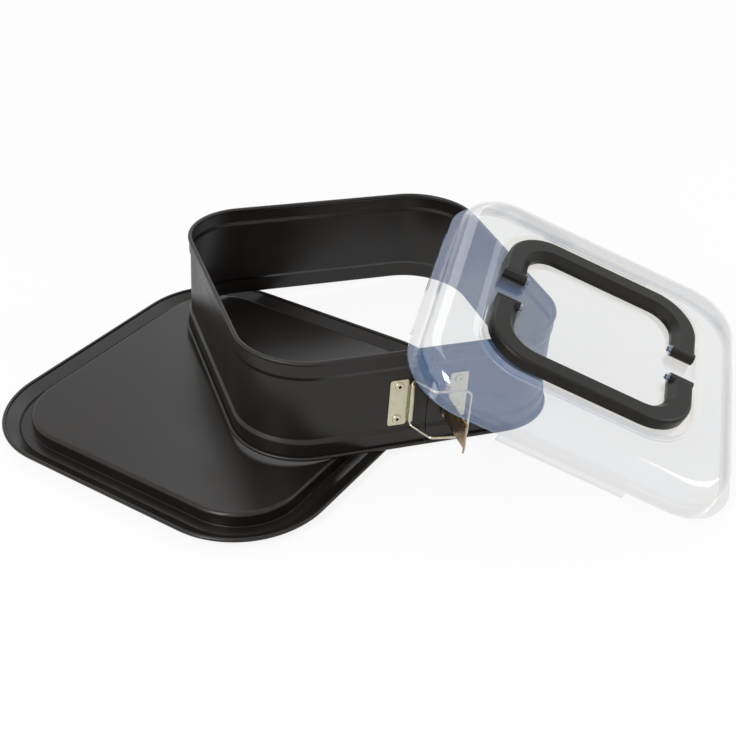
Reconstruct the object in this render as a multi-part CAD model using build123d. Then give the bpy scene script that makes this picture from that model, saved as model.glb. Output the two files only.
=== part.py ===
from build123d import *
import os
from math import atan, ceil, cos, degrees, pi, radians, sin

# Square springform pan, laid out with its latch open: the base plate flat on the table, the open
# ring leaning on the base, and the clear carrying cover leaning on the ring.
# Millimetres. The origin is on the table under the middle of the whole layout, and +Z is up.
# Each piece is drawn upright about its own middle, then put where it lies.

# Running and resting clearances
REST_GAP = 0.3
PIN_CLEARANCE = 0.06
SIDE_PLAY = 0.4

# Baking ring: a steel band with a rolled rim and a rolled hem
RING_WALL_HALF = 121.0
RING_CORNER = 49.0
RING_HEIGHT = 82.0
BAND_THICKNESS = 1.0
RIM_BEAD_RADIUS = 1.75
RIM_CURL = 0.9
HEM_BEAD_RADIUS = 1.6
HEM_CURL = 2.6
LOWER_BAND_STEP = 1.7
LOWER_BAND_TOP = 13.5
UPPER_BAND_STEP = 1.0
UPPER_BAND_BOTTOM = 69.5
BAND_SLOPE = 3.0
SEAM_GAP = 0.6
TONGUE_REACH = 55.0
TONGUE_BOTTOM = 0.5
WELD_LENGTH = 13.0
WELD_BOTTOM = 18.5
WELD_TOP = 65.5

# Base plate: pressed steel with a raised platform, a channel for the ring and a raised edge
SHEET = 1.0
BASE_HALF = 140.0
BASE_CORNER = 69.5
PLATFORM_HEIGHT = 12.0
PLATFORM_GAP = 1.8
PLATFORM_ROUND = 3.0
PLATFORM_CORNER = 46.0
CHANNEL_PLAY = 1.7
CHANNEL_STEP = 1.6
BASE_EDGE_HEIGHT = 9.0
BASE_BEAD_RADIUS = 1.5

# Latch, on the front wall of the ring
PLATE_THICKNESS = 1.0
PLATE_WIDTH = 14.0
PLATE_HEIGHT = 38.3
PLATE_BOTTOM = 19.6
PLATE_CORNER = 2.0
BAIL_PIVOT_X = -5.5
LEVER_PIVOT_X = 21.9
BARREL_RADIUS = 2.25
BARREL_LENGTH = 31.0
WIRE_RADIUS = 1.0
WIRE_ROUND = 4.0
BAIL_ARM_GAP = 3.1
BAIL_ELBOW_REACH = 21.3
BAIL_ELBOW_AIM = -63.8
BAIL_RUN_REACH = 42.0
BAIL_RUN_AIM = -34.6
LEVER_WIDTH = 20.0
LEVER_ROOT = 15.0
LEVER_BEND = 16.0
LEVER_BLADE = 35.0
LEVER_THICKNESS = 1.2
LEVER_AIM = -106.0
LEVER_LUG_AT = 13.0
LEVER_LUG_RISE = 1.2
LEVER_TIP_CURL = 35.0
LEVER_TIP_LENGTH = 5.0
LEVER_PIN_RADIUS = 1.1
RIVET_HOLE_RADIUS = 1.8
RIVET_HEAD_RADIUS = 3.5
RIVET_HEAD_HEIGHT = 1.0
RIVET_HEAD_ROUND = 0.7
RIVET_EDGE = 5.3
RIVET_EYE_RADIUS = 1.2

# Carrying cover: a clear moulded dome with a rest for two folding handles
COVER_CORNER = 47.0
COVER_SKIN = 1.4
FLANGE_THICKNESS = 1.6
FLANGE_WIDTH = 6.1
FLANGE_OVERHANG = 0.45
COVER_TOP = 20.0
SHOULDER_RADIUS = 11.0
RIDGE_SLOPE = 4.5
RIDGE_WIDTH = 2.7
RIDGE_HEIGHT = 2.5
RIDGE_CORNER = 42.0
LEDGE_HEIGHT = 18.0
LEDGE_MARGIN = 3.1
POCKET_DEPTH = 1.5
POCKET_MARGIN = 3.5
POCKET_SLOPE = 9.5
POCKET_CORNER = 16.0
SIDE_LIP_LENGTH = 122.0
END_LIP_LENGTH = 94.0
LIP_DEPTH = 5.0
LIP_THICKNESS = 1.2
LIP_PLAY = 0.35
LIP_NIB = 0.5

# Folding handles
HANDLE_HALF_X = 78.2
HANDLE_HALF_Y = 73.7
HANDLE_WIDTH = 18.0
HANDLE_THICKNESS = 8.7
HANDLE_CORNER = 36.0
HANDLE_INNER_CORNER = 20.0
HANDLE_PIVOT_Y = 16.3
HANDLE_BEVEL = 5.0
HANDLE_BEVEL_DROP = 5.0
HANDLE_ROUND = 2.4
STUD_RADIUS = 2.0
STUD_LENGTH = 2.9
EAR_THICKNESS = 2.2
EAR_RADIUS = 3.4

# Where the pieces lie on the table
BASE_PLACE = (-116.32, -15.10)
BASE_HEADING = 56.66
RING_PLACE = (-14.12, 37.45)
RING_HEADING = 19.01
COVER_PLACE = (151.06, -28.49)
COVER_HEADING = -13.8
COVER_LEAN = 5.7

# Sizes that follow from the ones above
RING_INNER_HALF = RING_WALL_HALF - BAND_THICKNESS
LOWER_BAND_HALF = RING_WALL_HALF + LOWER_BAND_STEP
UPPER_BAND_HALF = RING_WALL_HALF + UPPER_BAND_STEP
RIM_HALF = UPPER_BAND_HALF + RIM_CURL
HEM_HALF = LOWER_BAND_HALF + HEM_CURL
PLATFORM_HALF = RING_INNER_HALF - PLATFORM_GAP
CHANNEL_HALF = HEM_HALF + CHANNEL_PLAY
PLATE_FACE = RING_WALL_HALF + PLATE_THICKNESS
PIVOT_Y = -(RING_WALL_HALF + BARREL_RADIUS + PIN_CLEARANCE)
PLATE_MIDDLE = PLATE_BOTTOM + PLATE_HEIGHT / 2
BAIL_HALF_HEIGHT = BARREL_LENGTH / 2 + BAIL_ARM_GAP + WIRE_RADIUS
SEAM_X = (BAIL_PIVOT_X + LEVER_PIVOT_X) / 2
TONGUE_TOP = RING_HEIGHT - 2 * RIM_BEAD_RADIUS - REST_GAP
LEDGE_HALF = max(HANDLE_HALF_X, HANDLE_HALF_Y) + LEDGE_MARGIN
RIDGE_TOP_HALF = LEDGE_HALF + RIDGE_WIDTH
RIDGE_FOOT_HALF = RIDGE_TOP_HALF + RIDGE_SLOPE
LIP_FACE = RIM_HALF + LIP_PLAY
LIP_HALF = LIP_FACE + LIP_THICKNESS
COVER_HALF = LIP_FACE + FLANGE_OVERHANG
COVER_WALL_HALF = COVER_HALF - FLANGE_WIDTH
LIP_LENGTHS = (SIDE_LIP_LENGTH, END_LIP_LENGTH, SIDE_LIP_LENGTH, END_LIP_LENGTH)
HANDLE_BOTTOM = LEDGE_HEIGHT + REST_GAP
HANDLE_TOP = HANDLE_BOTTOM + HANDLE_THICKNESS
HANDLE_PIVOT_Z = HANDLE_BOTTOM + HANDLE_THICKNESS / 2
HANDLE_INNER_X = HANDLE_HALF_X - HANDLE_WIDTH
HANDLE_INNER_Y = HANDLE_HALF_Y - HANDLE_WIDTH
EAR_OUTER_X = HANDLE_INNER_X - SIDE_PLAY
POCKET_HALF_X = EAR_OUTER_X - EAR_THICKNESS - REST_GAP
POCKET_HALF_Y = HANDLE_INNER_Y - POCKET_MARGIN
POCKET_FLOOR = LEDGE_HEIGHT - POCKET_DEPTH


def turned(point, heading, lean, tilt):
    """Turn a point by the tilt about Y, then the lean about X, then the heading about Z."""
    x, y, z = point
    x, z = x * cos(tilt) + z * sin(tilt), z * cos(tilt) - x * sin(tilt)
    y, z = y * cos(lean) - z * sin(lean), z * cos(lean) + y * sin(lean)
    return (
        x * cos(heading) - y * sin(heading),
        x * sin(heading) + y * cos(heading),
        z,
    )


def turned_back(point, heading, lean, tilt):
    """Undo turned, so that a point on the table is read in a leaning piece's own frame."""
    x, y, z = point
    x, y = x * cos(heading) + y * sin(heading), y * cos(heading) - x * sin(heading)
    y, z = y * cos(lean) + z * sin(lean), z * cos(lean) - y * sin(lean)
    return x * cos(tilt) - z * sin(tilt), y, z * cos(tilt) + x * sin(tilt)


def outline_points(half, corner, spacing=3.0):
    """Points along a rounded square, one side and one corner at a time."""
    points = []
    straight = 2 * (half - corner)
    side_steps = ceil(straight / spacing)
    arc_steps = ceil(corner * pi / 2 / spacing)
    for quarter in range(4):
        turn = quarter * pi / 2
        run = [(half, -straight / 2 + straight * i / side_steps) for i in range(side_steps)]
        for i in range(arc_steps):
            angle = pi / 2 * i / arc_steps
            run.append((half - corner + corner * cos(angle), half - corner + corner * sin(angle)))
        points += [turned((x, y, 0), turn, 0, 0)[:2] for x, y in run]
    return points


def settle_ring():
    """Tilt of the ring about its right-hand hem so that its other side rests on the base."""
    heading = radians(RING_HEADING)
    steepest = 0.0
    edge = outline_points(BASE_HALF - BASE_BEAD_RADIUS, BASE_CORNER - BASE_BEAD_RADIUS)
    platform = outline_points(PLATFORM_HALF - PLATFORM_ROUND, PLATFORM_CORNER - PLATFORM_ROUND)
    for points, height in ((edge, BASE_EDGE_HEIGHT), (platform, PLATFORM_HEIGHT)):
        for x, y in points:
            x, y, _ = turned((x, y, 0), radians(BASE_HEADING), 0, 0)
            x += BASE_PLACE[0] - RING_PLACE[0]
            y += BASE_PLACE[1] - RING_PLACE[1]
            u, v, _ = turned_back((x, y, 0), heading, 0, 0)
            reach = max(abs(u), abs(v))
            if RING_INNER_HALF - BASE_BEAD_RADIUS < reach < HEM_HALF + BASE_BEAD_RADIUS:
                steepest = max(steepest, atan((height + REST_GAP) / (HEM_HALF - u)))
    return steepest


RING_TILT = settle_ring()
RING_LIFT = HEM_HALF * sin(RING_TILT)


def under_cover(x, y):
    """Height of the cover's lowest surface over a point of its own plan."""
    reach = max(abs(x), abs(y))
    if reach > LIP_HALF + RIM_BEAD_RADIUS:
        return 2 * RING_HEIGHT
    if reach > COVER_WALL_HALF - COVER_SKIN - RIM_BEAD_RADIUS:
        return 0.0
    inside_x = abs(x) < POCKET_HALF_X + COVER_SKIN + RIM_BEAD_RADIUS
    inside_y = abs(y) < POCKET_HALF_Y + COVER_SKIN + RIM_BEAD_RADIUS
    if inside_x and inside_y:
        return POCKET_FLOOR - COVER_SKIN
    return LEDGE_HEIGHT - COVER_SKIN


def cover_lift(tilt):
    """Height of the cover's own origin when its lowest lip or edge is on the table."""
    feet = [(x, y, 0) for x, y in outline_points(COVER_HALF, COVER_CORNER)]
    for side, length in enumerate(LIP_LENGTHS):
        for end in (-1, 1):
            foot = (LIP_HALF, end * length / 2, -LIP_DEPTH)
            feet.append(turned(foot, side * pi / 2, 0, 0))
    return -min(turned(foot, 0, radians(COVER_LEAN), tilt)[2] for foot in feet)


def settle_cover():
    """Tilt of the cover so that it just rests on the rim of the ring."""
    rim = []
    for x, y in outline_points(RIM_HALF - RIM_BEAD_RADIUS, RING_CORNER):
        x, y, z = turned((x, y, RING_HEIGHT - RIM_BEAD_RADIUS), radians(RING_HEADING), 0, RING_TILT)
        rim.append((x + RING_PLACE[0] - COVER_PLACE[0], y + RING_PLACE[1] - COVER_PLACE[1], z + RING_LIFT))
    low, high = 0.0, radians(60)
    while high - low > 1e-5:
        tilt = (low + high) / 2
        lift = cover_lift(tilt)
        spare = 2 * RING_HEIGHT
        for x, y, z in rim:
            u, v, w = turned_back((x, y, z - lift), radians(COVER_HEADING), radians(COVER_LEAN), tilt)
            spare = min(spare, under_cover(u, v) - w - RIM_BEAD_RADIUS)
        if spare < REST_GAP:
            low = tilt
        else:
            high = tilt
    return high


COVER_TILT = settle_cover()
COVER_LIFT = cover_lift(COVER_TILT)

BASE_AT = Pos(BASE_PLACE[0], BASE_PLACE[1], 0) * Rot(0, 0, BASE_HEADING)
RING_AT = Pos(RING_PLACE[0], RING_PLACE[1], RING_LIFT) * Rot(0, 0, RING_HEADING) * Rot(0, degrees(RING_TILT), 0)
COVER_AT = (
    Pos(COVER_PLACE[0], COVER_PLACE[1], COVER_LIFT)
    * Rot(0, 0, COVER_HEADING)
    * Rot(COVER_LEAN, 0, 0)
    * Rot(0, degrees(COVER_TILT), 0)
)


def rounded(half_x, half_y, corner, height):
    """A rounded rectangle as a flat face at one height."""
    return Pos(0, 0, height) * RectangleRounded(2 * half_x, 2 * half_y, corner)


def block(half_x, half_y, corner, bottom, top):
    """A rounded block between two heights."""
    return extrude(rounded(half_x, half_y, corner, bottom), top - bottom)


def frustum(lower, upper):
    """A rounded block whose sides slope, from its (half_x, half_y, corner, height) at each end."""
    return loft([rounded(*lower), rounded(*upper)], ruled=True)


def strip(points, bend, thickness):
    """A bent strip of sheet seen on edge, in the XZ plane, from the points of its middle line."""
    path = FilletPolyline(*[(x, 0, z) for x, z in points], radius=bend)
    outline = offset(path, amount=thickness / 2, side=Side.BOTH)
    return make_face(outline.edges())


def swept_round(section, half, corner):
    """Sweep a section in the XZ plane round a rounded square, from the middle of its right side."""
    loop = RectangleRounded(2 * half, 2 * half, corner).wire()
    right_side = loop.edges().sort_by(Axis.X)[-1]
    start = Line((half, 0, 0), (half, half - corner, 0))
    finish = Line((half, corner - half, 0), (half, 0, 0))
    others = [edge for edge in loop.edges() if edge.center() != right_side.center()]
    path = Wire([start.edge(), *others, finish.edge()])
    return sweep(section, path=path)


def make_base_plate():
    """Pressed plate: platform, channel for the ring's hem, sloping edge and a rolled border."""
    middle = SHEET / 2
    border = BASE_HALF - BASE_BEAD_RADIUS
    profile = [
        (PLATFORM_HALF - 2.5 * PLATFORM_ROUND, PLATFORM_HEIGHT - middle),
        (PLATFORM_HALF - middle, PLATFORM_HEIGHT - middle),
        (PLATFORM_HALF - middle, middle),
        (CHANNEL_HALF, middle),
        (CHANNEL_HALF + CHANNEL_STEP, CHANNEL_STEP + middle),
        (border, BASE_EDGE_HEIGHT - BASE_BEAD_RADIUS),
    ]
    section = strip(profile, [PLATFORM_ROUND - middle, SHEET, SHEET, SHEET], SHEET)
    bead = Pos(border, 0, BASE_EDGE_HEIGHT - BASE_BEAD_RADIUS) * Rot(90, 0, 0) * Circle(BASE_BEAD_RADIUS)
    corner = BASE_CORNER - (BASE_HALF - PLATFORM_HALF)
    edge = swept_round(section + bead, PLATFORM_HALF, max(corner, PLATFORM_CORNER))
    inset = 2 * PLATFORM_ROUND
    flat = block(
        PLATFORM_HALF - inset,
        PLATFORM_HALF - inset,
        max(corner, PLATFORM_CORNER) - inset,
        PLATFORM_HEIGHT - SHEET,
        PLATFORM_HEIGHT,
    )
    return edge + flat


def make_ring_band():
    """Band with a stepped upper band, a stepped lower band, a rolled rim and a rolled hem."""
    middle = BAND_THICKNESS / 2
    rim_z = RING_HEIGHT - RIM_BEAD_RADIUS
    profile = [
        (LOWER_BAND_HALF - middle, HEM_BEAD_RADIUS),
        (LOWER_BAND_HALF - middle, LOWER_BAND_TOP),
        (RING_WALL_HALF - middle, LOWER_BAND_TOP + BAND_SLOPE),
        (RING_WALL_HALF - middle, UPPER_BAND_BOTTOM - BAND_SLOPE),
        (UPPER_BAND_HALF - middle, UPPER_BAND_BOTTOM),
        (UPPER_BAND_HALF - middle, rim_z),
    ]
    section = strip(profile, BAND_THICKNESS, BAND_THICKNESS)
    rim = Pos(RIM_HALF - RIM_BEAD_RADIUS, 0, rim_z) * Rot(90, 0, 0) * Circle(RIM_BEAD_RADIUS)
    hem = Pos(HEM_HALF - HEM_BEAD_RADIUS, 0, HEM_BEAD_RADIUS) * Rot(90, 0, 0) * Circle(HEM_BEAD_RADIUS)
    band = swept_round(section + rim + hem, RING_WALL_HALF, RING_CORNER)
    slit = Pos(SEAM_X, -RING_INNER_HALF, 0) * Box(SEAM_GAP, RING_CORNER, 3 * RING_HEIGHT)
    for place in rivet_places(BAIL_PIVOT_X, -1) + rivet_places(LEVER_PIVOT_X, 1):
        slit += place * Cylinder(RIVET_HOLE_RADIUS, 4 * BAND_THICKNESS)
    joined = SEAM_X + SEAM_GAP / 2
    tongue = Pos(joined + WELD_LENGTH, -RING_INNER_HALF + REST_GAP, TONGUE_BOTTOM) * Box(
        TONGUE_REACH + WELD_LENGTH,
        BAND_THICKNESS,
        TONGUE_TOP - TONGUE_BOTTOM,
        align=(Align.MAX, Align.MIN, Align.MIN),
    )
    weld = Pos(joined, -RING_INNER_HALF, WELD_BOTTOM) * Box(
        WELD_LENGTH,
        BAND_THICKNESS,
        WELD_TOP - WELD_BOTTOM,
        align=(Align.MIN, Align.MIN, Align.MIN),
    )
    return band - slit + tongue + weld


def rivet_places(barrel_x, side):
    """Where the two rivets of one hinge plate go through the outer face of the ring's wall."""
    x = barrel_x + side * (BARREL_RADIUS + PLATE_WIDTH / 2)
    step = PLATE_HEIGHT / 2 - RIVET_EDGE
    return [Pos(x, -RING_WALL_HALF, PLATE_MIDDLE + z * step) * Rot(90, 0, 0) for z in (-1, 1)]


def make_plate(barrel_x, side, knuckles, bore_radius):
    """Hinge plate of the latch: a flat plate on the wall whose free edge is rolled into a barrel."""
    face = Rot(90, 0, 0) * RectangleRounded(PLATE_WIDTH, PLATE_HEIGHT, PLATE_CORNER)
    middle_x = barrel_x + side * (BARREL_RADIUS + PLATE_WIDTH / 2)
    plate = Pos(middle_x, -RING_WALL_HALF, PLATE_MIDDLE) * extrude(face, PLATE_THICKNESS)
    for place in rivet_places(barrel_x, side):
        plate -= place * Cylinder(RIVET_HOLE_RADIUS, 4 * PLATE_THICKNESS)
    web_length = BARREL_RADIUS + PLATE_CORNER + PLATE_THICKNESS
    for low, high in knuckles:
        height = high - low
        web = Pos(barrel_x + side * web_length / 2, -RING_WALL_HALF, low) * Box(
            web_length, PLATE_THICKNESS, height, align=(Align.CENTER, Align.MAX, Align.MIN)
        )
        plate += web + Pos(barrel_x, PIVOT_Y, low) * extrude(Circle(BARREL_RADIUS), height)
    return plate - Pos(barrel_x, PIVOT_Y, PLATE_MIDDLE) * Cylinder(bore_radius, 2 * PLATE_HEIGHT)


def make_rivets(barrel_x, side):
    """Two hollow rivets with round heads, through one hinge plate and the band, flush inside."""
    rivets = []
    for place in rivet_places(barrel_x, side):
        head = extrude(Circle(RIVET_HEAD_RADIUS), RIVET_HEAD_HEIGHT)
        head = Pos(0, 0, PLATE_THICKNESS) * fillet(head.edges().sort_by(Axis.Z)[-1], RIVET_HEAD_ROUND)
        shank = Pos(0, 0, -BAND_THICKNESS) * extrude(Circle(RIVET_HOLE_RADIUS), BAND_THICKNESS + PLATE_THICKNESS)
        eye = Cylinder(RIVET_EYE_RADIUS, 8 * PLATE_THICKNESS)
        rivets.append(place * (head + shank - eye))
    return Compound(children=rivets)


def bail_point(reach, aim):
    """A point of the bail in plan, from its distance and direction out of the bail's pivot."""
    return BAIL_PIVOT_X + reach * cos(radians(aim)), PIVOT_Y + reach * sin(radians(aim))


def make_bail():
    """Wire loop: a pivot run in the barrel, two dog-legged arms and the run that the lever pulls."""
    low = PLATE_MIDDLE - BAIL_HALF_HEIGHT
    high = PLATE_MIDDLE + BAIL_HALF_HEIGHT
    elbow = bail_point(BAIL_ELBOW_REACH, BAIL_ELBOW_AIM)
    places = [(BAIL_PIVOT_X, PIVOT_Y), elbow, bail_point(BAIL_RUN_REACH, BAIL_RUN_AIM)]
    upper = [(x, y, high) for x, y in places]
    lower = [(x, y, low) for x, y in reversed(places)]
    path = FilletPolyline(*upper, *lower, radius=WIRE_ROUND, close=True).wire()
    return sweep(Plane(origin=path @ 0, z_dir=path % 0) * Circle(WIRE_RADIUS), path=path)


def lever_frame():
    """Place of the lever: its pivot, with X along its root and Y towards the bail."""
    return Pos(LEVER_PIVOT_X, PIVOT_Y, PLATE_MIDDLE) * Rot(0, 0, LEVER_AIM)


def make_lever():
    """Lever pressed from strip: rolled eye, straight root with a hook lug, and a bent thumb blade."""
    side = -(BARREL_RADIUS - LEVER_THICKNESS / 2)
    bend = radians(LEVER_BEND)
    curl = radians(LEVER_BEND - LEVER_TIP_CURL)
    elbow = (LEVER_ROOT, side)
    tip = (elbow[0] + LEVER_BLADE * cos(bend), elbow[1] + LEVER_BLADE * sin(bend))
    end = (tip[0] + LEVER_TIP_LENGTH * cos(curl), tip[1] + LEVER_TIP_LENGTH * sin(curl))
    path = FilletPolyline((0, side), elbow, tip, end, radius=2 * LEVER_THICKNESS)
    outline = make_face(offset(path, amount=LEVER_THICKNESS / 2, side=Side.BOTH).edges())
    blade = extrude(outline, LEVER_WIDTH / 2, both=True)
    eye = extrude(Circle(BARREL_RADIUS), LEVER_WIDTH / 2, both=True)
    lug_rise = LEVER_THICKNESS / 2 + LEVER_LUG_RISE
    lug = Pos(LEVER_LUG_AT, side, 0) * Box(
        LEVER_THICKNESS, lug_rise, LEVER_WIDTH / 2, align=(Align.CENTER, Align.MIN, Align.CENTER)
    )
    bore = Cylinder(LEVER_PIN_RADIUS + PIN_CLEARANCE, 2 * LEVER_WIDTH)
    return lever_frame() * (blade + eye + lug - bore)


def make_lever_pin():
    """Hinge pin of the lever, headed at both ends, held in the outer knuckles of its plate."""
    pin = Cylinder(LEVER_PIN_RADIUS, BARREL_LENGTH)
    for end in (-1, 1):
        head = Cylinder(1.5 * LEVER_PIN_RADIUS, LEVER_PIN_RADIUS)
        pin += Pos(0, 0, end * (BARREL_LENGTH + LEVER_PIN_RADIUS) / 2) * head
    return Pos(LEVER_PIVOT_X, PIVOT_Y, PLATE_MIDDLE) * pin


def cover_form(skin):
    """Solid form of the cover's dome, drawn in by the skin, with the rest for the handles sunk in."""
    wall = COVER_WALL_HALF - skin
    form = block(wall, wall, COVER_CORNER - (COVER_HALF - wall), 0, COVER_TOP - skin)
    form = fillet(form.edges().group_by(Axis.Z)[-1], SHOULDER_RADIUS - skin)
    if skin == 0:
        top_corner = RIDGE_CORNER - (RIDGE_FOOT_HALF - RIDGE_TOP_HALF)
        form += frustum(
            (RIDGE_FOOT_HALF, RIDGE_FOOT_HALF, RIDGE_CORNER, COVER_TOP),
            (RIDGE_TOP_HALF, RIDGE_TOP_HALF, top_corner, COVER_TOP + RIDGE_HEIGHT),
        )
    ledge = LEDGE_HALF + skin
    ledge_corner = RIDGE_CORNER - (RIDGE_FOOT_HALF - ledge)
    form -= block(ledge, ledge, ledge_corner, LEDGE_HEIGHT - skin, COVER_TOP + 2 * RIDGE_HEIGHT)
    half_x, half_y = POCKET_HALF_X + skin, POCKET_HALF_Y + skin
    floor = POCKET_FLOOR - skin
    form -= frustum(
        (half_x - POCKET_SLOPE, half_y - POCKET_SLOPE, POCKET_CORNER, floor),
        (half_x, half_y, POCKET_CORNER + POCKET_SLOPE, LEDGE_HEIGHT - skin),
    )
    return form


def make_cover_shell():
    """Moulded cover: hollow dome, flange, four snap lips and the ears that hold the handles."""
    shell = cover_form(0)
    shell += block(COVER_HALF, COVER_HALF, COVER_CORNER, 0, FLANGE_THICKNESS)
    for side, length in enumerate(LIP_LENGTHS):
        lip = Box(
            LIP_HALF - LIP_FACE, length, LIP_DEPTH + FLANGE_THICKNESS, align=(Align.MIN, Align.CENTER, Align.MIN)
        )
        roof = Box(
            LIP_HALF - COVER_WALL_HALF, length, FLANGE_THICKNESS, align=(Align.MIN, Align.CENTER, Align.MIN)
        )
        nib = Box(LIP_NIB, length, LIP_NIB, align=(Align.MAX, Align.CENTER, Align.MIN))
        bar = Pos(LIP_FACE, 0, -LIP_DEPTH) * (lip + nib) + Pos(COVER_WALL_HALF, 0, 0) * roof
        shell += Rot(0, 0, 90 * side) * bar
    shell -= cover_form(COVER_SKIN)
    for y in (-1, 1):
        shell += make_ear(-1, y) + make_ear(1, y)
        bore = Pos(0, y * HANDLE_PIVOT_Y, HANDLE_PIVOT_Z) * Rot(0, 90, 0)
        shell -= bore * Cylinder(STUD_RADIUS + PIN_CLEARANCE, 2 * HANDLE_HALF_X)
    return shell


def make_ear(x, y):
    """Upright ear beside one leg of a handle, round-topped about the handle's pivot."""
    foot = LEDGE_HEIGHT - COVER_SKIN / 2
    disc = Rot(0, 90, 0) * Cylinder(EAR_RADIUS, EAR_THICKNESS)
    stem = Pos(0, 0, (foot - HANDLE_PIVOT_Z) / 2) * Box(EAR_THICKNESS, 2 * EAR_RADIUS, HANDLE_PIVOT_Z - foot)
    middle_x = EAR_OUTER_X - EAR_THICKNESS / 2
    ear = Pos(x * middle_x, y * HANDLE_PIVOT_Y, HANDLE_PIVOT_Z) * (disc + stem)
    return ear & block(COVER_HALF, COVER_HALF, COVER_CORNER, foot, HANDLE_TOP)


def make_handle():
    """Folding handle: a flat C-shaped bar whose two legs end in round knuckles with inward studs."""
    outer = rounded(HANDLE_HALF_X, HANDLE_HALF_Y, HANDLE_CORNER, HANDLE_BOTTOM)
    inner = rounded(HANDLE_INNER_X, HANDLE_INNER_Y, HANDLE_INNER_CORNER, HANDLE_BOTTOM)
    rear = Pos(0, HANDLE_PIVOT_Y, HANDLE_BOTTOM) * Rectangle(
        2 * HANDLE_HALF_X, HANDLE_HALF_Y, align=(Align.CENTER, Align.MIN)
    )
    bar = extrude((outer - inner) & rear, HANDLE_THICKNESS)
    top_face = bar.faces().sort_by(Axis.Z)[-1]
    bend_start = HANDLE_INNER_Y - HANDLE_INNER_CORNER
    inner_edges = [
        edge
        for edge in top_face.edges()
        if abs(edge.center().X) < HANDLE_INNER_X - 1 and bend_start < edge.center().Y < HANDLE_INNER_Y + 1
    ]
    bar = chamfer(inner_edges, HANDLE_BEVEL_DROP, HANDLE_BEVEL, reference=top_face)
    outer_edges = [
        edge
        for edge in bar.edges().group_by(Axis.Z)[-1]
        if max(abs(edge.center().X) - HANDLE_INNER_X, edge.center().Y - HANDLE_INNER_Y) > HANDLE_WIDTH / 2
    ]
    bar = fillet(outer_edges, HANDLE_ROUND)
    for x in (-1, 1):
        knuckle = Pos(x * (HANDLE_HALF_X - HANDLE_WIDTH / 2), HANDLE_PIVOT_Y, HANDLE_PIVOT_Z)
        bar += knuckle * Rot(0, 90, 0) * Cylinder(HANDLE_THICKNESS / 2, HANDLE_WIDTH)
        stud = Pos(x * (HANDLE_INNER_X - STUD_LENGTH / 2), HANDLE_PIVOT_Y, HANDLE_PIVOT_Z)
        bar += stud * Rot(0, 90, 0) * Cylinder(STUD_RADIUS, STUD_LENGTH)
    return bar


PIVOT_RUN = (PLATE_MIDDLE - BARREL_LENGTH / 2, PLATE_MIDDLE + BARREL_LENGTH / 2)
LEVER_KNUCKLES = [
    (PIVOT_RUN[0], PLATE_MIDDLE - LEVER_WIDTH / 2 - SIDE_PLAY),
    (PLATE_MIDDLE + LEVER_WIDTH / 2 + SIDE_PLAY, PIVOT_RUN[1]),
]


def make_parts():
    """Every piece by name, each put where it lies."""
    rear_handle = make_handle()
    return {
        "base_plate": BASE_AT * make_base_plate(),
        "ring_band": RING_AT * make_ring_band(),
        "bail_plate": RING_AT * make_plate(BAIL_PIVOT_X, -1, [PIVOT_RUN], WIRE_RADIUS + PIN_CLEARANCE),
        "bail_plate_rivets": RING_AT * make_rivets(BAIL_PIVOT_X, -1),
        "latch_bail": RING_AT * make_bail(),
        "lever_plate": RING_AT * make_plate(LEVER_PIVOT_X, 1, LEVER_KNUCKLES, LEVER_PIN_RADIUS),
        "lever_plate_rivets": RING_AT * make_rivets(LEVER_PIVOT_X, 1),
        "lever_pin": RING_AT * make_lever_pin(),
        "latch_lever": RING_AT * make_lever(),
        "cover_shell": COVER_AT * make_cover_shell(),
        "rear_handle": COVER_AT * rear_handle,
        "front_handle": COVER_AT * Rot(0, 0, 180) * rear_handle,
    }


def main():
    os.makedirs("parts", exist_ok=True)
    for name, solid in make_parts().items():
        export_step(solid, f"parts/{name}.step")
    print("ring tilt", round(degrees(RING_TILT), 2), "lift", round(RING_LIFT, 2))
    print("cover tilt", round(degrees(COVER_TILT), 2), "lift", round(COVER_LIFT, 2))


if __name__ == "__main__":
    main()
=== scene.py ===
from math import radians

import bmesh
import bpy
from bpy.props import FloatProperty, FloatVectorProperty, PointerProperty
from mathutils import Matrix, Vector

bl_info = {
    "name": "Springform pan with cover",
    "version": (1, 0, 0),
    "blender": (4, 5, 0),
    "location": "View3D > Sidebar > Pan",
    "description": "Finishes a square springform pan, laid open beside its clear carrying cover",
    "category": "Object",
}

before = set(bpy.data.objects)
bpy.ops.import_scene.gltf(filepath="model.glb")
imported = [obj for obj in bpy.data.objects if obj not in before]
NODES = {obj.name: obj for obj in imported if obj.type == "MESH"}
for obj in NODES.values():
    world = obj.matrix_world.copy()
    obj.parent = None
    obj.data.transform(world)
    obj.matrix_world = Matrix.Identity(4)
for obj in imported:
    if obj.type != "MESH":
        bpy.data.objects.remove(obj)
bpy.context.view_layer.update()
MM = 0.001

# Most of a noise pattern's values lie between these two.
NOISE_LOW = 0.3
NOISE_HIGH = 0.7

# The non-stick coating: its patches, how dull it is in them, and how it darkens where it is thin.
COATING_PATCH = 45 * MM
COATING_DULLNESS = (0.27, 0.35)
COATING_SHINE = 0.36
COATING_THIN = 0.8
COATING_THICK = 1.2
ROLLED_GRAIN = 0.85

# The plated parts of the latch: the size of their clouds and how dull each is where it is clearest.
ZINC_CLOUD, ZINC_DULLNESS = 4 * MM, 0.26
WIRE_CLOUD, WIRE_DULLNESS = 2 * MM, 0.16
LEVER_CLOUD, LEVER_DULLNESS = 6 * MM, 0.22
CLOUDED_DULLING = 0.14
CLOUDED_DIMMING = 0.62

# The clear cover: its haze, and its mirror share seen square on and edge on.
COVER_IOR = 1.59
COVER_HAZE = 0.12
COVER_DULLNESS = 0.09
COVER_MIRROR = (0.08, 0.9)
MIRROR_POWER = 5.0

# The black handles.
HANDLE_IOR = 1.54
HANDLE_WEAR = 25 * MM
HANDLE_DULLNESS = (0.30, 0.40)
HANDLE_SHINE = 0.22

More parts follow.
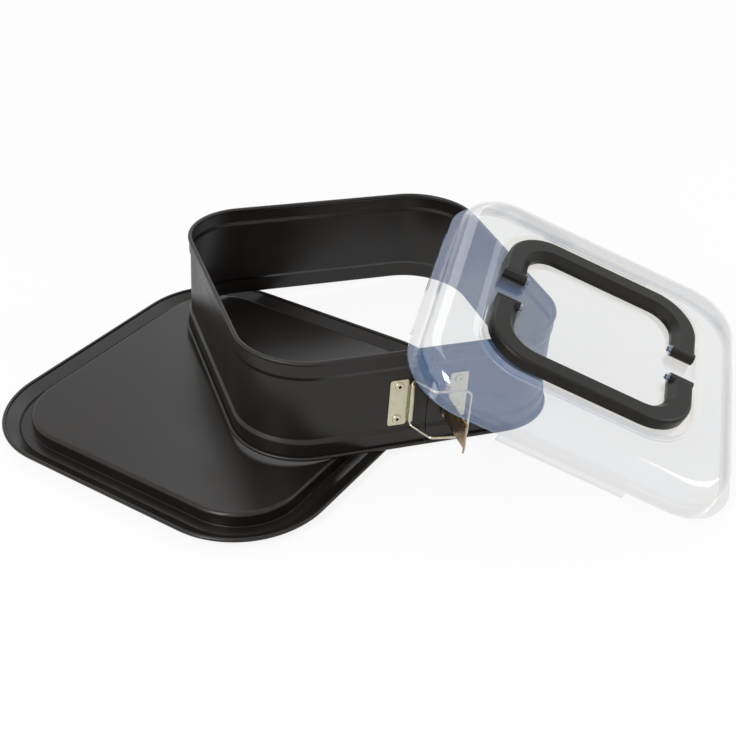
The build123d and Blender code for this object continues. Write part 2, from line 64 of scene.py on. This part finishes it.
# The paper floor: its fibres, how far under the pan it lies, and its share of plain white.
PAPER_FIBRE = 3 * MM
PAPER_DIMMING = 0.98
FLOOR_DROP = 0.2 * MM
FLOOR_WHITE = 0.88

# Each lamp's name, place, width, height and share of the key lamp's power.
LAMPS = (
    ("Key lamp", (-0.86, -1.08, 1.13), 0.4, 1.0, 1.0),
    ("Fill lamp", (1.44, 0.15, 0.85), 0.6, 0.6, 0.35),
    ("Back lamp", (0.2, 1.3, 1.5), 1.4, 1.4, 0.4),
)


def linear(code):
    """A colour written as #rrggbb, as linear red, green and blue."""
    parts = [int(code[i : i + 2], 16) / 255 for i in (1, 3, 5)]
    return tuple(c / 12.92 if c <= 0.04045 else ((c + 0.055) / 1.055) ** 2.4 for c in parts)


def colour(name, code, description):
    """A colour that can be changed in the panel."""
    return FloatVectorProperty(
        name=name, description=description, subtype="COLOR",
        size=3, min=0, max=1, default=linear(code),
    )


class FinishColours(bpy.types.PropertyGroup):
    coating: colour("Coating", "#1b1816", "Non-stick coating of the base plate and the ring")
    zinc: colour("Zinc", "#d8d2b8", "Plating of the latch's two hinge plates")
    wire: colour("Wire", "#d6d0c4", "Bright plating of the wire bail")
    lever: colour("Lever", "#b39a7c", "Plating of the lever")
    scatter: colour("Scatter", "#8cbaff", "What the clear cover throws back of the light")
    passed: colour("Passed", "#fffcf5", "What one face of the clear cover lets through")
    handle: colour("Handle", "#171513", "Black plastic of the folding handles")
    floor: colour("Floor", "#fdfdfd", "Studio floor")


class FinishSizes(bpy.types.PropertyGroup):
    orange_peel: FloatProperty(
        name="Coating grain", description="Width of the sprayed coating's bumps",
        default=0.9 * MM, min=0.1 * MM, max=5 * MM, unit="LENGTH",
    )
    grit: FloatProperty(
        name="Mould grain", description="Width of the grain moulded into the handles",
        default=0.5 * MM, min=0.1 * MM, max=3 * MM, unit="LENGTH",
    )
    ripple: FloatProperty(
        name="Mould ripple", description="Width of the faint waves in the clear cover",
        default=14 * MM, min=2 * MM, max=60 * MM, unit="LENGTH",
    )


class StageSettings(bpy.types.PropertyGroup):
    camera_place: FloatVectorProperty(
        name="Camera", description="Where the camera stands", subtype="TRANSLATION", unit="LENGTH",
        default=(-0.00729, -0.77409, 0.54661),
    )
    camera_pitch: FloatProperty(
        name="Pitch", description="How far the camera looks down from level",
        subtype="ANGLE", default=radians(34.1),
    )
    lens: FloatProperty(
        name="Lens", description="Focal length on a 36 mm sensor",
        default=58.8, min=10, unit="CAMERA",
    )
    floor_size: FloatProperty(
        name="Floor", description="Side of the floor",
        default=8.0, min=1, unit="LENGTH",
    )
    key_power: FloatProperty(
        name="Key", description="Power of the key lamp, which the other lamps follow",
        default=18.0, min=0, unit="POWER",
    )
    sky: FloatProperty(
        name="Sky", description="Strength of the light from all round",
        default=0.42, min=0,
    )


def add(tree, kind, settings=None, inputs=None):
    """Add one shader node with its settings, and link or set what its inputs take."""
    made = tree.nodes.new(kind)
    for name, value in (settings or {}).items():
        setattr(made, name, value)
    for name, value in (inputs or {}).items():
        if isinstance(value, bpy.types.NodeSocket):
            tree.links.new(value, made.inputs[name])
        else:
            made.inputs[name].default_value = value
    return made


def new_material(name):
    """An empty node material and its output node."""
    material = bpy.data.materials.new(name)
    material.use_nodes = True
    tree = material.node_tree
    tree.nodes.clear()
    return material, tree, add(tree, "ShaderNodeOutputMaterial")


def rgba(value):
    return (*value, 1.0)


def nonstick_coated_steel(name, colours, sizes, rolled):
    """Carbon steel with a sprayed, baked non-stick coating.

    Spraying leaves an orange peel too fine to see as bumps: it blurs reflections into a soft
    satin sheen, a little duller in patches where the coat went on thicker. On a band rolled from
    strip, the rolling grain runs round the band and draws its highlights out upright.
    """
    material, tree, output = new_material(name)
    place = add(tree, "ShaderNodeTexCoord").outputs["Object"]
    peel = add(
        tree, "ShaderNodeTexNoise",
        inputs={"Vector": place, "Scale": 1 / sizes.orange_peel, "Detail": 2.0, "Roughness": 0.5},
    )
    patches = add(
        tree, "ShaderNodeTexNoise",
        inputs={"Vector": place, "Scale": 1 / COATING_PATCH, "Detail": 3.0, "Roughness": 0.55},
    )
    satin = add(
        tree, "ShaderNodeMapRange",
        inputs={
            "Value": patches.outputs["Fac"], "From Min": NOISE_LOW, "From Max": NOISE_HIGH,
            "To Min": COATING_DULLNESS[0], "To Max": COATING_DULLNESS[1],
        },
    )
    bumps = add(
        tree, "ShaderNodeBump",
        inputs={"Height": peel.outputs["Fac"], "Strength": 0.10, "Distance": 0.05 * MM},
    )
    thin = rgba([COATING_THIN * c for c in colours.coating])
    thick = rgba([COATING_THICK * c for c in colours.coating])
    tint = add(
        tree, "ShaderNodeMix", {"data_type": "RGBA"},
        {0: patches.outputs["Fac"], 6: thin, 7: thick},
    )
    shader = add(
        tree, "ShaderNodeBsdfPrincipled",
        inputs={
            "Base Color": tint.outputs[2],
            "Roughness": satin.outputs["Result"],
            "Normal": bumps.outputs["Normal"],
            "Specular IOR Level": COATING_SHINE,
            "Anisotropic": ROLLED_GRAIN if rolled else 0.0,
        },
    )
    if rolled:
        facing = add(tree, "ShaderNodeNewGeometry").outputs["Normal"]
        grain = add(
            tree, "ShaderNodeVectorMath", {"operation": "CROSS_PRODUCT"},
            {0: (0, 0, 1), 1: facing},
        )
        tree.links.new(grain.outputs["Vector"], shader.inputs["Tangent"])
    tree.links.new(shader.outputs["BSDF"], output.inputs["Surface"])
    return material


def plated_steel(name, tone, cloud, dullness):
    """Pressed mild steel with an electroplated skin.

    The plating is dull-bright, slightly warm, and clouded in small patches by handling, so its
    reflections are soft and uneven.
    """
    material, tree, output = new_material(name)
    place = add(tree, "ShaderNodeTexCoord").outputs["Object"]
    clouds = add(
        tree, "ShaderNodeTexNoise",
        inputs={"Vector": place, "Scale": 1 / cloud, "Detail": 4.0, "Roughness": 0.6},
    )
    dim = rgba([CLOUDED_DIMMING * c for c in tone])
    tint = add(
        tree, "ShaderNodeMix", {"data_type": "RGBA"},
        {0: clouds.outputs["Fac"], 6: dim, 7: rgba(tone)},
    )
    dull = add(
        tree, "ShaderNodeMapRange",
        inputs={
            "Value": clouds.outputs["Fac"], "From Min": NOISE_LOW, "From Max": NOISE_HIGH,
            "To Min": dullness, "To Max": dullness + CLOUDED_DULLING,
        },
    )
    scratches = add(
        tree, "ShaderNodeBump",
        inputs={"Height": clouds.outputs["Fac"], "Strength": 0.25, "Distance": 0.05 * MM},
    )
    shader = add(
        tree, "ShaderNodeBsdfPrincipled",
        inputs={
            "Base Color": tint.outputs[2], "Metallic": 1.0, "Roughness": dull.outputs["Result"],
            "Normal": scratches.outputs["Normal"],
        },
    )
    tree.links.new(shader.outputs["BSDF"], output.inputs["Surface"])
    return material


def clear_moulded_plastic(colours, sizes):
    """Clear polystyrene, injection moulded.

    It passes most of the light and throws a little back as a bluish haze, which shows only in
    front of something dark. Flow in the mould leaves faint long waves in its gloss.
    """
    material, tree, output = new_material("Clear moulded polystyrene")
    place = add(tree, "ShaderNodeTexCoord").outputs["Object"]
    waves = add(
        tree, "ShaderNodeTexNoise",
        inputs={"Vector": place, "Scale": 1 / sizes.ripple, "Detail": 1.0, "Roughness": 0.4},
    )
    bumps = add(
        tree, "ShaderNodeBump",
        inputs={"Height": waves.outputs["Fac"], "Strength": 0.35, "Distance": 0.4 * MM},
    )
    haze = add(
        tree, "ShaderNodeBsdfPrincipled",
        inputs={
            "Base Color": rgba(colours.scatter), "Roughness": 0.5,
            "IOR": COVER_IOR, "Specular IOR Level": 0.0,
        },
    )
    clear = add(tree, "ShaderNodeBsdfTransparent", inputs={"Color": rgba(colours.passed)})
    body = add(
        tree, "ShaderNodeMixShader",
        inputs={0: COVER_HAZE, 1: clear.outputs["BSDF"], 2: haze.outputs["BSDF"]},
    )
    gloss = add(
        tree, "ShaderNodeBsdfGlossy",
        inputs={
            "Color": (1, 1, 1, 1), "Roughness": COVER_DULLNESS,
            "Normal": bumps.outputs["Normal"],
        },
    )
    slant = add(
        tree, "ShaderNodeLayerWeight",
        inputs={"Blend": 0.5, "Normal": bumps.outputs["Normal"]},
    )
    steep = add(
        tree, "ShaderNodeMath", {"operation": "POWER"},
        {0: slant.outputs["Facing"], 1: MIRROR_POWER},
    )
    mirror = add(
        tree, "ShaderNodeMapRange",
        inputs={"Value": steep.outputs[0], "To Min": COVER_MIRROR[0], "To Max": COVER_MIRROR[1]},
    )
    both = add(
        tree, "ShaderNodeMixShader",
        inputs={0: mirror.outputs["Result"], 1: body.outputs["Shader"], 2: gloss.outputs["BSDF"]},
    )
    tree.links.new(both.outputs["Shader"], output.inputs["Surface"])
    return material


def black_moulded_plastic(colours, sizes):
    """Black ABS, injection moulded in a lightly sparked mould.

    The mould's grain is half a millimetre or finer and only softens the edges of reflections.
    """
    material, tree, output = new_material("Black moulded ABS")
    place = add(tree, "ShaderNodeTexCoord").outputs["Object"]
    grain = add(
        tree, "ShaderNodeTexNoise",
        inputs={"Vector": place, "Scale": 1 / sizes.grit, "Detail": 1.0, "Roughness": 0.5},
    )
    worn = add(
        tree, "ShaderNodeTexNoise",
        inputs={"Vector": place, "Scale": 1 / HANDLE_WEAR, "Detail": 3.0, "Roughness": 0.6},
    )
    gloss = add(
        tree, "ShaderNodeMapRange",
        inputs={
            "Value": worn.outputs["Fac"], "From Min": NOISE_LOW, "From Max": NOISE_HIGH,
            "To Min": HANDLE_DULLNESS[0], "To Max": HANDLE_DULLNESS[1],
        },
    )
    bumps = add(
        tree, "ShaderNodeBump",
        inputs={"Height": grain.outputs["Fac"], "Strength": 0.12, "Distance": 0.04 * MM},
    )
    shader = add(
        tree, "ShaderNodeBsdfPrincipled",
        inputs={
            "Base Color": rgba(colours.handle), "Roughness": gloss.outputs["Result"],
            "IOR": HANDLE_IOR, "Specular IOR Level": HANDLE_SHINE, "Normal": bumps.outputs["Normal"],
        },
    )
    tree.links.new(shader.outputs["BSDF"], output.inputs["Surface"])
    return material


def studio_floor(colours):
    """Matt white paper: it holds the pan's shadow and is white where nothing shades it."""
    material, tree, output = new_material("Matt white paper")
    place = add(tree, "ShaderNodeTexCoord").outputs["Object"]
    fibre = add(
        tree, "ShaderNodeTexNoise",
        inputs={"Vector": place, "Scale": 1 / PAPER_FIBRE, "Detail": 2.0},
    )
    dim = rgba([PAPER_DIMMING * c for c in colours.floor])
    tint = add(
        tree, "ShaderNodeMix", {"data_type": "RGBA"},
        {0: fibre.outputs["Fac"], 6: dim, 7: rgba(colours.floor)},
    )
    paper = add(tree, "ShaderNodeBsdfDiffuse", inputs={"Color": tint.outputs[2]})
    glow = add(tree, "ShaderNodeEmission", inputs={"Color": (1, 1, 1, 1), "Strength": 1.0})
    share = add(
        tree, "ShaderNodeMath", {"operation": "MULTIPLY"},
        {0: seen_by_eye(tree), 1: FLOOR_WHITE},
    )
    both = add(
        tree, "ShaderNodeMixShader",
        inputs={0: share.outputs[0], 1: paper.outputs["BSDF"], 2: glow.outputs["Emission"]},
    )
    tree.links.new(both.outputs["Shader"], output.inputs["Surface"])
    return material


def seen_by_eye(tree):
    """1 for rays from the eye, also by way of metal or clear plastic, and 0 for light on the pan."""
    rays = add(tree, "ShaderNodeLightPath").outputs
    straight = add(
        tree, "ShaderNodeMath", {"operation": "MAXIMUM"},
        {0: rays["Is Camera Ray"], 1: rays["Is Transmission Ray"]},
    )
    seen = add(
        tree, "ShaderNodeMath", {"operation": "MAXIMUM"},
        {0: straight.outputs[0], 1: rays["Is Glossy Ray"]},
    )
    return seen.outputs[0]


def dress(names, material):
    """Give CAD pieces their finish."""
    for name in names:
        mesh = NODES[name].data
        mesh.materials.clear()
        mesh.materials.append(material)


class PAN_OT_base_plate(bpy.types.Operator):
    """Finish the base plate"""

    bl_idname = "pan.base_plate"
    bl_label = "Base plate"

    def execute(self, context):
        scene = context.scene
        steel = nonstick_coated_steel(
            "Non-stick coated steel sheet", scene.pan_colours, scene.pan_sizes, rolled=False
        )
        dress(["base_plate"], steel)
        return {"FINISHED"}


class PAN_OT_ring(bpy.types.Operator):
    """Finish the baking ring"""

    bl_idname = "pan.ring"
    bl_label = "Baking ring"

    def execute(self, context):
        scene = context.scene
        steel = nonstick_coated_steel(
            "Non-stick coated steel strip", scene.pan_colours, scene.pan_sizes, rolled=True
        )
        dress(["ring_band"], steel)
        return {"FINISHED"}


class PAN_OT_latch(bpy.types.Operator):
    """Finish the latch's plates, rivets, pin, wire and lever"""

    bl_idname = "pan.latch"
    bl_label = "Latch"

    def execute(self, context):
        colours = context.scene.pan_colours
        zinc = plated_steel("Zinc-plated pressed steel", colours.zinc, ZINC_CLOUD, ZINC_DULLNESS)
        plates = ["bail_plate", "lever_plate", "bail_plate_rivets", "lever_plate_rivets", "lever_pin"]
        dress(plates, zinc)
        nickel = plated_steel("Nickel-plated spring wire", colours.wire, WIRE_CLOUD, WIRE_DULLNESS)
        dress(["latch_bail"], nickel)
        strip = plated_steel("Plated steel strip", colours.lever, LEVER_CLOUD, LEVER_DULLNESS)
        dress(["latch_lever"], strip)
        return {"FINISHED"}


class PAN_OT_cover(bpy.types.Operator):
    """Finish the carrying cover"""

    bl_idname = "pan.cover"
    bl_label = "Carrying cover"

    def execute(self, context):
        scene = context.scene
        dress(["cover_shell"], clear_moulded_plastic(scene.pan_colours, scene.pan_sizes))
        return {"FINISHED"}


class PAN_OT_handles(bpy.types.Operator):
    """Finish the two folding handles"""

    bl_idname = "pan.handles"
    bl_label = "Folding handles"

    def execute(self, context):
        scene = context.scene
        plastic = black_moulded_plastic(scene.pan_colours, scene.pan_sizes)
        dress(["rear_handle", "front_handle"], plastic)
        return {"FINISHED"}


class PAN_OT_stage(bpy.types.Operator):
    """Lay the floor, light the scene and place the camera"""

    bl_idname = "pan.stage"
    bl_label = "Stage"

    def execute(self, context):
        scene = context.scene
        stage = scene.pan_stage
        lay_floor(scene, stage)
        light_scene(scene, stage)
        place_camera(scene, stage)
        scene.view_settings.view_transform = "Standard"
        return {"FINISHED"}


def lay_floor(scene, stage):
    """A square of white paper just under the pan."""
    shape = bmesh.new()
    bmesh.ops.create_grid(shape, x_segments=1, y_segments=1, size=stage.floor_size / 2)
    bmesh.ops.translate(shape, verts=shape.verts, vec=(0, 0, -FLOOR_DROP))
    mesh = bpy.data.meshes.new("paper_floor")
    shape.to_mesh(mesh)
    shape.free()
    floor = bpy.data.objects.new("paper_floor", mesh)
    scene.collection.objects.link(floor)
    mesh.materials.append(studio_floor(scene.pan_colours))


def light_scene(scene, stage):
    """Even light from all round, and large soft lamps above that point at the middle."""
    world = bpy.data.worlds.new("White studio")
    world.use_nodes = True
    scene.world = world
    tree = world.node_tree
    tree.nodes.clear()
    output = add(tree, "ShaderNodeOutputWorld")
    lit = add(tree, "ShaderNodeBackground", inputs={"Color": (1, 1, 1, 1), "Strength": stage.sky})
    white = add(tree, "ShaderNodeBackground", inputs={"Color": (1, 1, 1, 1), "Strength": 1.0})
    both = add(
        tree, "ShaderNodeMixShader",
        inputs={0: seen_by_eye(tree), 1: lit.outputs["Background"], 2: white.outputs["Background"]},
    )
    tree.links.new(both.outputs["Shader"], output.inputs["Surface"])
    for name, place, width, height, share in LAMPS:
        lamp = bpy.data.lights.new(name, "AREA")
        lamp.shape = "RECTANGLE"
        lamp.size = width
        lamp.size_y = height
        lamp.energy = stage.key_power * share
        body = bpy.data.objects.new(name, lamp)
        body.location = place
        body.rotation_euler = (-Vector(place)).to_track_quat("-Z", "Y").to_euler()
        scene.collection.objects.link(body)


def place_camera(scene, stage):
    """The photograph's viewpoint."""
    lens = bpy.data.cameras.new("Camera")
    lens.lens = stage.lens
    lens.sensor_width = 36
    camera = bpy.data.objects.new("Camera", lens)
    camera.location = stage.camera_place
    camera.rotation_euler = (radians(90) - stage.camera_pitch, 0, 0)
    scene.collection.objects.link(camera)
    scene.camera = camera


OPERATORS = (
    PAN_OT_stage,
    PAN_OT_base_plate,
    PAN_OT_ring,
    PAN_OT_latch,
    PAN_OT_cover,
    PAN_OT_handles,
)


class PAN_PT_panel(bpy.types.Panel):
    """The pan's pieces, sizes and colours"""

    bl_label = "Springform pan"
    bl_space_type = "VIEW_3D"
    bl_region_type = "UI"
    bl_category = "Pan"

    def draw(self, context):
        scene = context.scene
        for group in (scene.pan_sizes, scene.pan_colours, scene.pan_stage):
            column = self.layout.column(align=True)
            for name in group.bl_rna.properties.keys():
                if name not in ("rna_type", "name"):
                    column.prop(group, name)
        for operator in OPERATORS:
            self.layout.operator(operator.bl_idname)


CLASSES = (FinishColours, FinishSizes, StageSettings, *OPERATORS, PAN_PT_panel)


def register():
    for each in CLASSES:
        bpy.utils.register_class(each)
    bpy.types.Scene.pan_colours = PointerProperty(type=FinishColours)
    bpy.types.Scene.pan_sizes = PointerProperty(type=FinishSizes)
    bpy.types.Scene.pan_stage = PointerProperty(type=StageSettings)


def unregister():
    del bpy.types.Scene.pan_stage
    del bpy.types.Scene.pan_sizes
    del bpy.types.Scene.pan_colours
    for each in reversed(CLASSES):
        bpy.utils.unregister_class(each)


def main():
    register()
    bpy.ops.pan.stage()
    bpy.ops.pan.base_plate()
    bpy.ops.pan.ring()
    bpy.ops.pan.latch()
    bpy.ops.pan.cover()
    bpy.ops.pan.handles()


if __name__ == "__main__":
    main()
